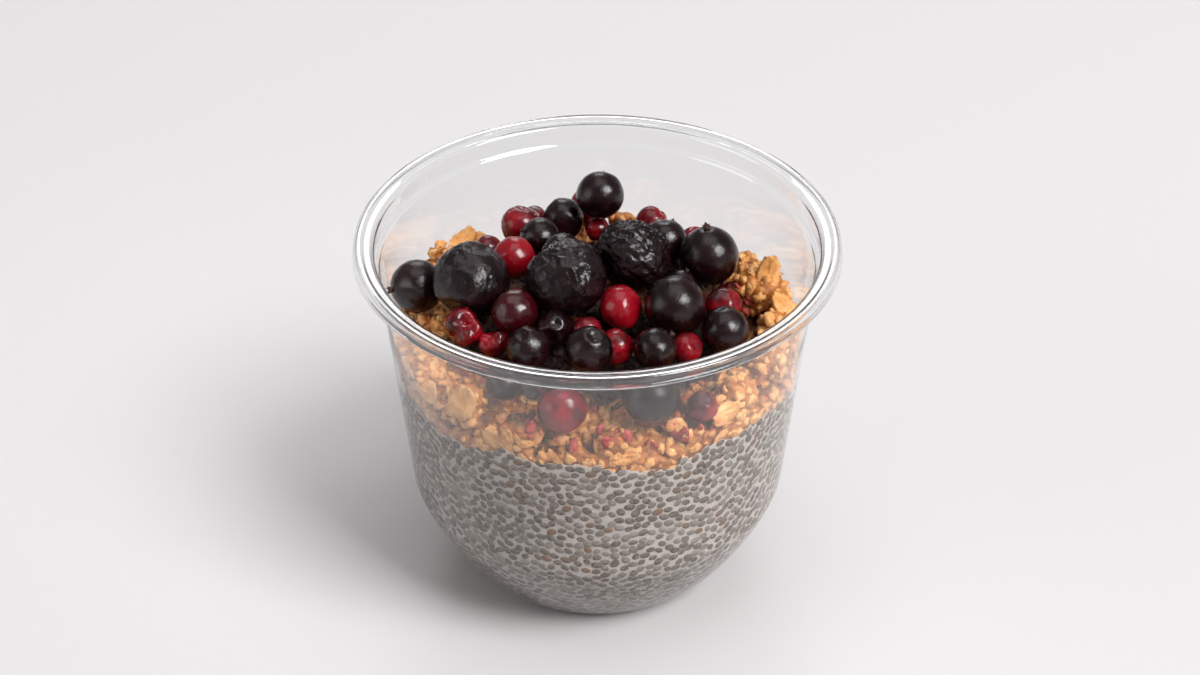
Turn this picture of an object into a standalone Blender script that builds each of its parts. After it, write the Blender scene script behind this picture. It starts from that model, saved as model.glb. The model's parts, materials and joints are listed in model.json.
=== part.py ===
"""Chia pudding in a clear round cup, topped with granola and loose berries.

The cup is a thin turned shell with a rounded bottom and a flanged rim. The pudding
fills it to a little over half its height. A domed heap of granola lies on the
pudding, and whole berries lie on the granola. Metres, +Z up, with the origin at the
bottom centre of the cup's foot. The front of the cup faces -Y.
"""

import math
import random

import bmesh
import bpy
from mathutils import Euler, Matrix, Vector, noise

MM = 0.001

# Cup, in millimetres
RIM_RADIUS = 47.5
CUP_HEIGHT = 76.0
FOOT_RADIUS = 22.0
FOOT_ANGLE = 15.0
FOOT_HANDLE = 6.0
KNEE_RADIUS = 37.6
KNEE_HEIGHT = 22.8
KNEE_HANDLE = 4.7
WALL_TOP_RADIUS = 42.6
WALL_TOP_HEIGHT = 69.0
WALL = 0.6
SHOULDER_HEIGHT = 70.3
NECK_HEIGHT = 71.0
NECK_STEP = 1.1
FLANGE_DROP = 0.4
LIP_DROP = 2.0
SIDES = 48

# Contents, in millimetres
GAP = 0.3
LEVEL = 50.0
HEAP_TOP = 62.3
HEAP_CREST_Y = 4.0
HEAP_TILT = 0.6
HEAP_SIDE = {"reach": 41.0, "fall": 6.3}
HEAP_FRONT = {"reach": 45.0, "fall": 9.0}
HEAP_BACK = {"reach": 37.0, "fall": 8.5}

# Waves of the pudding's edge: height in millimetres, waves round, and start angle
RIPPLES = [(0.9, 7, 0.6), (0.6, 11, 2.0)]

# Rings of the turned contents, as shares of their radius
LEVEL_RINGS = (1.0, 0.8, 0.45, 0.0)
CROWN_RINGS = (1.0, 0.93, 0.8, 0.62, 0.4, 0.2, 0.0)

# Berries in the order they were dropped: kind, x, y and radius in millimetres, and
# the direction that the dried calyx faces
BERRIES = [
    ("cranberry", -13.0, 32.5, 2.6, (-0.3, 0.9, 0.3)),
    ("cranberry", 19.5, -32.0, 3.0, (0.3, -0.5, 0.8)),
    ("currant", -17.5, -26.5, 3.4, (0.2, -0.3, 0.9)),
    ("cranberry", -1.5, 33.5, 4.2, (0.4, 0.7, 0.5)),
    ("cranberry", -6.5, -35.0, 4.8, (-0.4, 0.3, 0.9)),
    ("currant", 10.0, -33.0, 5.4, (0.3, -0.3, -0.6)),
    ("cranberry", -20.0, -15.5, 2.6, (0.6, -0.4, 0.5)),
    ("cranberry", -25.5, -13.0, 3.4, (-0.4, -0.5, 0.6)),
    ("cranberry", 11.0, 26.5, 3.2, (0.5, 0.4, 0.6)),
    ("cranberry", 17.0, -18.5, 3.0, (0.2, 0.4, 0.8)),
    ("currant", -35.5, 2.5, 5.2, (-1.0, -0.4, 0.1)),
    ("cranberry", 0.0, 23.0, 2.6, (0.1, -0.9, 0.2)),
    ("cranberry", -15.5, 24.5, 4.0, (-0.6, 0.2, 0.5)),
    ("cranberry", -22.0, 15.0, 3.2, (-0.2, 0.8, 0.4)),
    ("cranberry", 19.5, 18.5, 2.8, (0.3, 0.6, 0.6)),
    ("currant", -13.0, -21.5, 4.2, (-0.3, -0.3, 0.9)),
    ("cranberry", 12.5, 20.5, 2.8, (-0.4, 0.5, 0.7)),
    ("currant", -7.0, 25.5, 4.2, (-0.5, 0.5, 0.6)),
    ("cranberry", 3.5, -19.5, 3.4, (0.2, -0.3, -0.8)),
    ("cranberry", -2.0, -14.5, 2.8, (-0.7, 0.5, 0.5)),
    ("currant", 24.5, -14.5, 4.6, (-0.2, 0.2, 1.0)),
    ("cranberry", 24.5, -6.0, 3.6, (0.6, -0.2, 0.6)),
    ("currant", -8.5, -14.0, 3.4, (0.2, -0.6, 0.7)),
    ("currant", 11.0, -22.0, 4.0, (0.7, 0.3, 0.6)),
    ("currant", 16.5, 0.0, 3.0, (0.3, 0.3, 0.8)),
    ("cranberry", -16.0, -11.0, 4.4, (-0.2, 0.8, 0.5)),
    ("currant", -11.5, 16.5, 4.0, (-0.8, -0.2, 0.6)),
    ("currant", 4.0, 14.5, 3.6, (0.2, 0.6, 0.8)),
    ("cranberry", -16.5, 8.0, 4.4, (0.1, -0.8, -0.3)),
    ("cranberry", 4.5, -9.5, 4.2, (-0.3, 0.7, 0.6)),
    ("currant", 13.5, 13.5, 4.4, (0.3, 0.8, 0.4)),
    ("currant", -1.5, -25.0, 4.4, (0.2, -0.3, 0.9)),
    ("currant", -7.0, 8.5, 4.2, (-0.3, 0.4, 0.8)),
    ("currant", 22.0, 7.0, 5.8, (-0.1, 0.2, 1.0)),
    ("currant", 15.0, -10.5, 5.8, (0.4, 0.9, -0.2)),
    ("blueberry", -24.5, -2.5, 7.4, (0.3, -0.6, 0.6)),
    ("blueberry", 7.0, 3.5, 6.8, (0.7, -0.5, -0.2)),
    ("blueberry", -6.0, -4.5, 7.6, (0.5, -0.7, 0.3)),
    ("currant", 0.5, 23.5, 4.8, (0.1, 0.9, 0.4)),
]

# Form of each kind: squash along the calyx axis, depth of the calyx pit, wrinkle
# depth, and the sides round and along
KINDS = {
    "currant": {"squash": 0.97, "pit": 0.10, "wrinkle": 0.012, "sides": (10, 7)},
    "cranberry": {"squash": 0.94, "pit": 0.06, "wrinkle": 0.030, "sides": (10, 6)},
    "blueberry": {"squash": 0.92, "pit": 0.14, "wrinkle": 0.040, "sides": (14, 9)},
}

# Granola clusters that show, in millimetres: x, y, radius, and lift of the middle
# above the heap as a share of the radius
CLUSTERS = [
    (32.0, 2.0, 5.8, 0.50),
    (35.5, -7.5, 4.4, 0.35),
    (33.0, -17.0, 4.6, 0.45),
    (26.5, -26.5, 4.6, 0.40),
    (-24.5, -27.5, 4.8, 0.55),
    (-32.5, -18.5, 4.4, 0.45),
    (-14.0, -35.0, 4.0, 0.20),
    (3.0, -38.0, 3.4, 0.10),
    (19.0, -37.0, 3.4, 0.10),
    (-37.5, -8.5, 3.0, 0.30),
    (5.5, 33.0, 4.4, 0.20),
    (-31.0, 20.0, 4.0, 0.00),
    (-24.5, 27.0, 3.4, -0.30),
    (20.5, 27.0, 3.4, -0.30),
    (31.0, 16.5, 3.2, -0.50),
]
WALL_CLUMPS = 30
TOP_FLAKES = 60
SMALLEST_CLUMP = 1.5

# The clumps and flakes behind this line lie sunk into the heap, as low as they look
BACK_FROM_Y = 8.0
CLUMP_LIFTS = {"front": 0.2, "back": -0.5}
FLAKE_LIFTS = {"front": 0.15, "back": -0.2}

COLOURS = {
    "cup": (0.86, 0.88, 0.89, 1.0),
    "chia_pudding": (0.42, 0.40, 0.38, 1.0),
    "granola": (0.62, 0.33, 0.10, 1.0),
    "currant": (0.014, 0.008, 0.014, 1.0),
    "cranberry": (0.26, 0.008, 0.016, 1.0),
    "blueberry": (0.020, 0.014, 0.024, 1.0),
}


def clear_scene():
    for obj in list(bpy.data.objects):
        bpy.data.objects.remove(obj, do_unlink=True)


def add_object(name, mesh):
    obj = bpy.data.objects.new(name, mesh)
    bpy.context.scene.collection.objects.link(obj)
    return obj


def give_material(obj, colour, roughness, clear=0.0):
    mat = bpy.data.materials.new(obj.name)
    mat.use_nodes = True
    shader = mat.node_tree.nodes["Principled BSDF"]
    shader.inputs["Base Color"].default_value = colour
    shader.inputs["Roughness"].default_value = roughness
    shader.inputs["Metallic"].default_value = 0.0
    shader.inputs["Transmission Weight"].default_value = clear
    obj.data.materials.clear()
    obj.data.materials.append(mat)


def smooth(obj, angle):
    obj.data.shade_smooth()
    obj.data.set_sharp_from_angle(angle=math.radians(angle))


def turned_mesh(name, profile):
    """Turn a closed half outline of (radius, height) in millimetres round Z."""
    bm = bmesh.new()
    points = [bm.verts.new((r * MM, 0.0, z * MM)) for r, z in profile]
    edges = [bm.edges.new(pair) for pair in zip(points, points[1:])]
    bmesh.ops.spin(
        bm,
        geom=points + edges,
        cent=(0.0, 0.0, 0.0),
        axis=(0.0, 0.0, 1.0),
        angle=math.tau,
        steps=SIDES,
        use_merge=True,
        use_duplicate=False,
    )
    bmesh.ops.remove_doubles(bm, verts=bm.verts, dist=0.00001)
    bmesh.ops.recalc_face_normals(bm, faces=bm.faces)
    mesh = bpy.data.meshes.new(name)
    bm.to_mesh(mesh)
    bm.free()
    return mesh


def foot_direction():
    leave = math.radians(FOOT_ANGLE)
    return Vector((math.cos(leave), math.sin(leave)))


def foot_curve(steps=6):
    """The rounded bottom, a cubic curve from the foot's edge up to the knee."""
    draft = math.atan2(WALL_TOP_RADIUS - KNEE_RADIUS, WALL_TOP_HEIGHT - KNEE_HEIGHT)
    start = Vector((FOOT_RADIUS, 0.0))
    end = Vector((KNEE_RADIUS, KNEE_HEIGHT))
    near = start + FOOT_HANDLE * foot_direction()
    far = end - KNEE_HANDLE * Vector((math.sin(draft), math.cos(draft)))
    curve = []
    for step in range(steps + 1):
        t = step / steps
        point = start * (1 - t) ** 3
        point += near * 3 * t * (1 - t) ** 2
        point += far * 3 * t**2 * (1 - t)
        point += end * t**3
        curve.append(point)
    return curve


def body_outline(inset):
    """The cup's outside from foot to wall top, moved inwards by inset."""
    points = foot_curve() + [Vector((WALL_TOP_RADIUS, WALL_TOP_HEIGHT))]
    moved = []
    for i, point in enumerate(points):
        before = points[max(i - 1, 0)]
        after = points[min(i + 1, len(points) - 1)]
        along = (after - before).normalized()
        if i == 0:
            along = foot_direction()
        moved.append(point + inset * Vector((-along.y, along.x)))
    moved[0].y = inset
    return [(p.x, p.y) for p in moved]


def wall_inside(height):
    """Radius of the cup's inside at a height on its straight wall."""
    slope = (WALL_TOP_RADIUS - KNEE_RADIUS) / (WALL_TOP_HEIGHT - KNEE_HEIGHT)
    return KNEE_RADIUS + slope * (height - KNEE_HEIGHT) - WALL


def make_cup():
    neck = WALL_TOP_RADIUS + NECK_STEP
    flange = CUP_HEIGHT - FLANGE_DROP
    lip = RIM_RADIUS
    outside = [(0.0, 0.0)] + body_outline(0.0)
    outside += [
        (WALL_TOP_RADIUS + 0.2, SHOULDER_HEIGHT),
        (neck, NECK_HEIGHT),
        (neck + 0.1, flange - 1.0),
        (neck + 0.8, flange - WALL),
        (lip - WALL, flange - WALL),
        (lip - WALL, CUP_HEIGHT - LIP_DROP),
        (lip, CUP_HEIGHT - LIP_DROP),
    ]
    rim = [
        (lip, CUP_HEIGHT - 0.7),
        (lip - 0.6, CUP_HEIGHT - 0.1),
        (lip - 1.3, CUP_HEIGHT),
        (lip - 2.1, flange),
        (lip - 3.4, flange),
        (neck - 0.4, flange - 0.4),
        (neck - WALL, NECK_HEIGHT + 0.4),
        (WALL_TOP_RADIUS - 0.4, SHOULDER_HEIGHT + 0.3),
    ]
    inside = list(reversed(body_outline(WALL))) + [(0.0, WALL)]
    obj = add_object("cup", turned_mesh("cup", outside + rim + inside))
    smooth(obj, 40)
    give_material(obj, COLOURS["cup"], 0.05, clear=0.95)
    return obj


def ripple(x, y):
    """Unevenness of the pudding's surface, in millimetres."""
    turn = math.atan2(y, x)
    edge = (math.hypot(x, y) / wall_inside(LEVEL)) ** 2
    return edge * sum(height * math.sin(waves * turn + start) for height, waves, start in RIPPLES)


def heap_height(x, y):
    """Height of the granola's bare surface, a dome that falls to the wall."""
    depth = HEAP_FRONT if y < HEAP_CREST_Y else HEAP_BACK
    side = x / HEAP_SIDE["reach"]
    along = (y - HEAP_CREST_Y) / depth["reach"]
    fall = HEAP_SIDE["fall"] * side**2 + depth["fall"] * along**2
    return HEAP_TOP - fall + HEAP_TILT * side


def heap_slope(x, y, step=0.1):
    across = heap_height(x + step, y) - heap_height(x - step, y)
    along = heap_height(x, y + step) - heap_height(x, y - step)
    return math.hypot(across, along) / (2 * step)


def lay_level(vert, edge, above):
    """Move a vertex of a flat disc onto the pudding's surface, or a gap above it."""
    x, y = vert.co.x / MM, vert.co.y / MM
    height = LEVEL + ripple(x, y) + above
    widen = (wall_inside(height) - GAP) / edge
    vert.co = Vector((x * widen, y * widen, height)) * MM


def make_pudding():
    profile = [(0.0, WALL + GAP)] + body_outline(WALL + GAP)[:-1]
    edge = wall_inside(LEVEL) - GAP
    profile += [(edge * ring, LEVEL) for ring in LEVEL_RINGS]
    mesh = turned_mesh("chia_pudding", profile)
    for vert in mesh.vertices:
        if vert.co.z > (LEVEL - 0.01) * MM:
            lay_level(vert, edge, 0.0)
    obj = add_object("chia_pudding", mesh)
    smooth(obj, 40)
    give_material(obj, COLOURS["chia_pudding"], 0.35)
    return obj


def place_berries():
    """Drop each berry on the heap and on the berries that already lie there."""
    laid = []
    for kind, x, y, radius, calyx in BERRIES:
        z = heap_height(x, y) + (radius + GAP) * math.hypot(1.0, heap_slope(x, y))
        for _, other, reach, _ in laid:
            room = radius + reach + GAP
            apart = math.hypot(x - other.x, y - other.y)
            if apart < room:
                z = max(z, other.z + math.sqrt(room**2 - apart**2))
        laid.append((kind, Vector((x, y, z)), radius, Vector(calyx).normalized()))
    return laid


def make_berry(name, kind, centre, radius, calyx, seed):
    form = KINDS[kind]
    around, along = form["sides"]
    bm = bmesh.new()
    bmesh.ops.create_uvsphere(bm, u_segments=around, v_segments=along, radius=1.0)
    shift = Vector((seed * 3.7, seed * 1.3, 0.0))
    for vert in bm.verts:
        ripples = noise.noise(vert.co * 2.6 + shift) - 0.5
        vert.co *= 1.0 + 2.0 * form["wrinkle"] * ripples
        if vert.co.z > 0.98:
            vert.co.z -= form["pit"]
        vert.co.z *= form["squash"]
    furthest = max(vert.co.length for vert in bm.verts)
    turn = calyx.to_track_quat("Z", "Y").to_matrix().to_4x4()
    size = Matrix.Scale(radius * MM / furthest, 4)
    bmesh.ops.transform(bm, matrix=Matrix.Translation(centre * MM) @ turn @ size, verts=bm.verts)
    mesh = bpy.data.meshes.new(name)
    bm.to_mesh(mesh)
    bm.free()
    obj = add_object(name, mesh)
    smooth(obj, 60)
    give_material(obj, COLOURS[kind], 0.25)
    return obj


def make_berries(laid):
    counts = {kind: 0 for kind in KINDS}
    for seed, (kind, centre, radius, calyx) in enumerate(laid, start=1):
        counts[kind] += 1
        make_berry(f"{kind}_{counts[kind]:02d}", kind, centre, radius, calyx, seed)


def make_lump(name, centre, half_sizes, turn, finer, draw):
    """A lumpy stone of granola that stays inside the wall and above the pudding."""
    bm = bmesh.new()
    bmesh.ops.create_icosphere(bm, subdivisions=2 if finer else 1, radius=1.0)
    place = Euler(turn).to_matrix()
    floor = LEVEL + 2.0 + draw.uniform(0.0, 0.5)
    inset = GAP + draw.uniform(0.1, 0.5)
    for vert in bm.verts:
        lump = vert.co * draw.uniform(0.80, 1.0)
        point = centre + place @ Vector(a * b for a, b in zip(lump, half_sizes))
        point.z = max(point.z, floor)
        edge = wall_inside(point.z) - inset
        reach = math.hypot(point.x, point.y)
        if reach > edge:
            point.x *= edge / reach
            point.y *= edge / reach
        vert.co = point * MM
    mesh = bpy.data.meshes.new(name)
    bm.to_mesh(mesh)
    bm.free()
    return bpy.data.objects.new(name, mesh)


def clear_radius(centre, radius, laid):
    """The largest radius up to the wanted one that keeps clear of every berry."""
    for _, berry, reach, _ in laid:
        radius = min(radius, (centre - berry).length - reach - GAP)
    return radius


def lift_at(y, lifts):
    return lifts["back"] if y > BACK_FROM_Y else lifts["front"]


def granola_lumps(laid):
    draw = random.Random(11)
    lumps = []

    def add(x, y, radius, lift, flatness, finer):
        centre = Vector((x, y, heap_height(x, y) + lift * radius))
        fitted = clear_radius(centre, radius, laid)
        if fitted < SMALLEST_CLUMP:
            return
        half_sizes = (fitted, fitted * draw.uniform(0.75, 1.0), fitted * flatness)
        turn = (draw.uniform(-0.5, 0.5), draw.uniform(-0.5, 0.5), draw.uniform(0.0, math.tau))
        name = f"lump_{len(lumps):03d}"
        lumps.append(make_lump(name, centre, half_sizes, turn, finer, draw))

    for x, y, radius, lift in CLUSTERS:
        add(x, y, radius, lift, draw.uniform(0.8, 1.0), True)
    for step in range(WALL_CLUMPS):
        turn = math.tau * (step + draw.uniform(-0.3, 0.3)) / WALL_CLUMPS
        reach = draw.uniform(35.0, 38.5)
        radius = draw.uniform(2.8, 4.2)
        x, y = reach * math.cos(turn), reach * math.sin(turn)
        add(x, y, radius, lift_at(y, CLUMP_LIFTS), 0.8, False)
    for _ in range(TOP_FLAKES):
        turn = draw.uniform(0.0, math.tau)
        reach = 37.0 * math.sqrt(draw.random())
        radius = draw.uniform(2.0, 3.6)
        x, y = reach * math.cos(turn), reach * math.sin(turn)
        add(x, y, radius, lift_at(y, FLAKE_LIFTS), 0.45, False)
    return lumps


def keep_largest_shell(mesh):
    """Keep the outer skin, without loose scraps and closed hollows."""
    bm = bmesh.new()
    bm.from_mesh(mesh)
    bmesh.ops.triangulate(bm, faces=bm.faces, ngon_method="EAR_CLIP")
    left = set(bm.verts)
    shells = []
    while left:
        shell = set()
        reached = [left.pop()]
        while reached:
            vert = reached.pop()
            shell.add(vert)
            for edge in vert.link_edges:
                other = edge.other_vert(vert)
                if other in left:
                    left.remove(other)
                    reached.append(other)
        shells.append(shell)
    largest = max(shells, key=len)
    scraps = [vert for shell in shells if shell is not largest for vert in shell]
    bmesh.ops.delete(bm, geom=scraps, context="VERTS")
    bm.to_mesh(mesh)
    bm.free()


def make_granola(laid):
    """The domed core with the clusters and flakes that show fused on."""
    edge = wall_inside(LEVEL) - GAP
    bottom = [(edge * ring, LEVEL) for ring in reversed(LEVEL_RINGS)]
    crown = [(edge * ring, HEAP_TOP) for ring in CROWN_RINGS]
    mesh = turned_mesh("granola", bottom + crown)
    for vert in mesh.vertices:
        if vert.co.z < (LEVEL + 1.0) * MM:
            lay_level(vert, edge, GAP)
        else:
            vert.co.z = heap_height(vert.co.x / MM, vert.co.y / MM) * MM
    core = add_object("granola", mesh)
    pieces = bpy.data.collections.new("granola_pieces")
    lumps = granola_lumps(laid)
    for lump in lumps:
        pieces.objects.link(lump)
    bpy.context.scene.collection.children.link(pieces)
    fuse = core.modifiers.new("Fuse", "BOOLEAN")
    fuse.operation = "UNION"
    fuse.operand_type = "COLLECTION"
    fuse.collection = pieces
    fuse.solver = "MANIFOLD"
    graph = bpy.context.evaluated_depsgraph_get()
    fused = bpy.data.meshes.new_from_object(core.evaluated_get(graph))
    core.modifiers.clear()
    core.data = fused
    for lump in lumps:
        bpy.data.objects.remove(lump, do_unlink=True)
    bpy.data.collections.remove(pieces)
    keep_largest_shell(fused)
    smooth(core, 35)
    give_material(core, COLOURS["granola"], 0.7)
    return core


def main():
    clear_scene()
    laid = place_berries()
    make_cup()
    make_pudding()
    make_granola(laid)
    make_berries(laid)


main()
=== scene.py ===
import json
import math
import random

import bmesh
import bpy
import numpy as np
from mathutils import Euler, Matrix, Vector, noise
from mathutils.bvhtree import BVHTree

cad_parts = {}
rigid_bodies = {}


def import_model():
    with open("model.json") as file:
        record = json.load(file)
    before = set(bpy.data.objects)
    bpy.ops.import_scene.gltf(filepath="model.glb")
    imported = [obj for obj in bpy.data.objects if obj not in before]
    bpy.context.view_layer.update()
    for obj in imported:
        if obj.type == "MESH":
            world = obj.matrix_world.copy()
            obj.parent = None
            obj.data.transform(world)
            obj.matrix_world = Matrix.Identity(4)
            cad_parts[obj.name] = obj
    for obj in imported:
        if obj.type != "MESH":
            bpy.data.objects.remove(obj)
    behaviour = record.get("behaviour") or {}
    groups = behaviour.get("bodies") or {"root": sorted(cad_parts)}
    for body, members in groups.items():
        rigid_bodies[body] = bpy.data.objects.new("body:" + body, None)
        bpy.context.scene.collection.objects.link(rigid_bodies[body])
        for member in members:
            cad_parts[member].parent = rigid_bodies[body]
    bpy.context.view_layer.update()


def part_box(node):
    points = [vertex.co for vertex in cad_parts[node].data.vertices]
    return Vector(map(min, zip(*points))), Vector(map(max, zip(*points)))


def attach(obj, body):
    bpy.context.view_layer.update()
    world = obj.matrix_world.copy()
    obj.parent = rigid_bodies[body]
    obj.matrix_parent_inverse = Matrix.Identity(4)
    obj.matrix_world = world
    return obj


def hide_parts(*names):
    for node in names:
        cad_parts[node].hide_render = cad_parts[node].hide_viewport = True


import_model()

# Chia pudding with granola and berries in a clear cup. The front of the cup faces -Y.
# Sizes in the dictionaries are millimetres unless a note says otherwise.
mm = 0.001

noise.seed_set(7)   # else noise_vector starts from the clock, and no two runs match


def toLinear(hexText):
    # sRGB hex to the linear colour that a shader wants
    channels = [int(hexText[i:i + 2], 16) / 255 for i in (1, 3, 5)]
    lin = [c / 12.92 if c <= 0.04045 else ((c + 0.055) / 1.055) ** 2.4 for c in channels]
    return (*lin, 1.0)


def feed(node, feeds):
    # inputs by name or number: sockets are linked, a node gives its first output in use, hex is a colour
    for key, source in feeds.items():
        if isinstance(source, bpy.types.Node):
            source = next(out for out in source.outputs if out.enabled)
        if isinstance(source, str) and source.startswith("#"):
            source = toLinear(source)
        if isinstance(source, bpy.types.NodeSocket):
            node.id_data.links.new(source, node.inputs[key])
        else:
            node.inputs[key].default_value = source


def addNode(tree, kind, feeds=None, **settings):
    # a kind without a family in its name is a shader node, and every mix here is of colours
    node = tree.nodes.new(kind if "Node" in kind else "ShaderNode" + kind)
    if kind == "Mix":
        node.data_type = "RGBA"
    for key, value in settings.items():
        setattr(node, key, value)
    feed(node, feeds or {})
    return node


def perMetre(size):
    # noise scale for a pattern whose marks are this many millimetres apart
    return 1 / (size * mm)


def startMaterial(name):
    mat = bpy.data.materials.new(name)
    mat.use_nodes = True
    tree = mat.node_tree
    shader = tree.nodes["Principled BSDF"]
    where = addNode(tree, "TexCoord").outputs["Object"]
    return mat, tree, shader, where


def addPiece(name, mesh, finish=None):
    piece = bpy.data.objects.new(name, mesh)
    bpy.context.scene.collection.objects.link(piece)
    if finish:
        mesh.materials.clear()
        mesh.materials.append(finish)
    mesh.shade_smooth()
    return piece


def carry(piece, slotName, *nodes):
    # everything rides on the one body; a piece may stand for CAD nodes
    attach(piece, "root")
    if nodes:
        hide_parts(*nodes)


def paint(mesh, name, values):
    # keep one number for each point, for the material to read
    mesh.attributes.new(name, "FLOAT", "POINT").data.foreach_set("value", values)


def readPoints(mesh, what="co"):
    values = np.empty(len(mesh.vertices) * 3, dtype=np.float32)
    mesh.vertices.foreach_get(what, values)
    return values.reshape(-1, 3)


def spoke(reach, turn):
    return reach * math.cos(turn), reach * math.sin(turn)


def bridge(bm, low, high):
    # faces between two rings, where a ring of one point is a pole
    count = max(len(low), len(high))
    for k in range(count):
        n = (k + 1) % count
        corners = [low[k % len(low)], low[n % len(low)], high[n % len(high)], high[k % len(high)]]
        corners = [v for i, v in enumerate(corners) if v not in corners[:i]]
        if len(corners) > 2:
            bm.faces.new(corners)


def closeMesh(name, bm):
    bmesh.ops.recalc_face_normals(bm, faces=bm.faces)
    mesh = bpy.data.meshes.new(name)
    bm.to_mesh(mesh)
    bm.free()
    return mesh


# Camera, light and floor

camera = {
    "lens": 85.5,
    "sensor": 36.0,
    "place": (0.5, -463.3, 375.4),
    "aim": (0.5, 0.0, 52.2),
}

studio = {
    "surround": 0.20,   # strength of the even pale room
    "floorHalf": 2500.0,
    "floorColour": "#E0DDDE",
}

# turn is degrees to the right of the camera, height degrees above the table, power watts
softboxes = {
    "keyBox": {"turn": 52.0, "height": 46.0, "far": 2600.0, "size": 1200.0, "power": 66.0},
    "topBox": {"turn": 170.0, "height": 84.0, "far": 2000.0, "size": 1600.0, "power": 9.5},
    "leftCard": {"turn": -70.0, "height": 20.0, "far": 1500.0, "size": 900.0, "power": 3.6},
    "backBox": {"turn": 182.0, "height": 30.0, "far": 1600.0, "size": 600.0, "power": 3.4},
}


def setCamera():
    lens = bpy.data.cameras.new("camera")
    lens.lens = camera["lens"]
    lens.sensor_width = camera["sensor"]
    eye = bpy.data.objects.new("camera", lens)
    eye.location = Vector(camera["place"]) * mm
    look = (Vector(camera["aim"]) - Vector(camera["place"])).normalized()
    eye.rotation_euler = look.to_track_quat("-Z", "Y").to_euler()
    bpy.context.scene.collection.objects.link(eye)
    bpy.context.scene.camera = eye


def setLights():
    world = bpy.data.worlds.new("whiteRoom")
    world.use_nodes = True
    sky = world.node_tree.nodes["Background"]
    sky.inputs["Color"].default_value = toLinear("#FFFFFF")
    sky.inputs["Strength"].default_value = studio["surround"]
    bpy.context.scene.world = world

    for name, box in softboxes.items():
        light = bpy.data.lights.new(name, "AREA")
        light.shape = "SQUARE"
        light.size = box["size"] * mm
        light.energy = box["power"]
        lamp = bpy.data.objects.new(name, light)
        turn, rise = math.radians(box["turn"]), math.radians(box["height"])
        flat = math.cos(rise)
        way = Vector((math.sin(turn) * flat, -math.cos(turn) * flat, math.sin(rise)))
        lamp.location = way * box["far"] * mm + Vector((0, 0, 50 * mm))
        lamp.rotation_euler = (-way).to_track_quat("-Z", "Y").to_euler()
        bpy.context.scene.collection.objects.link(lamp)


def layFloor():
    # matt pale card: even, with a hint of tooth
    mat, tree, shader, where = startMaterial("mattPaleCard")
    tooth = addNode(tree, "TexNoise", {"Vector": where, "Scale": perMetre(1.5), "Detail": 4})
    bump = addNode(tree, "Bump", {"Height": tooth, "Strength": 0.05, "Distance": 0.0002})
    feed(shader, {"Normal": bump, "Base Color": studio["floorColour"], "Roughness": 0.75,
            "Specular IOR Level": 0.25})
    bm = bmesh.new()
    bmesh.ops.create_grid(bm, x_segments=1, y_segments=1, size=studio["floorHalf"] * mm)
    mesh = bpy.data.meshes.new("floor")
    bm.to_mesh(mesh)
    bm.free()
    floor = addPiece("floor", mesh, mat)


# Cup: a turned sheet. Its outer face is drawn, then thickened inward.

cup = {
    "foot": 22.0,   # radius of the flat foot
    "footLeave": 15.0,   # degrees that the bottom leaves the table at
    "footHandle": 6.0,
    "knee": (37.6, 22.8),   # radius and height where the straight wall starts
    "kneeHandle": 4.7,
    "wallTop": (42.6, 69.0),
    "sheet": 0.6,
    "segments": 192,
    # corners of the rim on its outer face: radius, height, rounding
    "rim": [(42.9, 70.5, 0.6), (43.7, 71.2, 0.5), (43.8, 74.75, 0.6), (45.4, 74.95, 0.8),
            (45.9, 75.4, 0.5), (46.6, 75.4, 0.5), (46.9, 73.8, 0.0)],
}


def bottomCurve(steps):
    # cubic curve from the foot's edge up to the knee, on the outer face
    kneeR, kneeZ = cup["knee"]
    topR, topZ = cup["wallTop"]
    draft = math.atan2(topR - kneeR, topZ - kneeZ)
    leave = math.radians(cup["footLeave"])
    start = Vector((cup["foot"], 0.0))
    end = Vector((kneeR, kneeZ))
    near = start + cup["footHandle"] * Vector((math.cos(leave), math.sin(leave)))
    far = end - cup["kneeHandle"] * Vector((math.sin(draft), math.cos(draft)))
    curve = []
    for step in range(steps + 1):
        t = step / steps
        curve.append(start * (1 - t) ** 3 + near * 3 * t * (1 - t) ** 2
                     + far * 3 * t ** 2 * (1 - t) + end * t ** 3)
    return curve


def wallRadius(height):
    # outer radius of the straight wall
    kneeR, kneeZ = cup["knee"]
    topR, topZ = cup["wallTop"]
    return kneeR + (topR - kneeR) * (height - kneeZ) / (topZ - kneeZ)


def keepInside(p, gap):
    # draw a point in from the wall until it is clear by the gap, at its own height
    limit = wallRadius(p.z) - cup["sheet"] - gap
    out = math.hypot(p.x, p.y)
    if out > limit:
        p.x *= limit / out
        p.y *= limit / out
    return p


def roundCorners(corners, steps=6):
    # a path of (x, y, rounding): each inner corner becomes a curve
    path = [Vector(corners[0][:2])]
    for before, here, after in zip(corners, corners[1:], corners[2:]):
        point = Vector(here[:2])
        back = Vector(before[:2]) - point
        ahead = Vector(after[:2]) - point
        cut = min(here[2], back.length * 0.49, ahead.length * 0.49)
        first = point + back.normalized() * cut
        last = point + ahead.normalized() * cut
        for step in range(steps + 1):
            t = step / steps
            path.append(first * (1 - t) ** 2 + point * 2 * t * (1 - t) + last * t ** 2)
    path.append(Vector(corners[-1][:2]))
    return path


def moveSideways(path, distance):
    # offset a (radius, height) path to its left, seen along the path
    moved = []
    for i, point in enumerate(path):
        along = path[min(i + 1, len(path) - 1)] - path[max(i - 1, 0)]
        along.normalize()
        moved.append(point + distance * Vector((-along.y, along.x)))
    return moved


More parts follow.
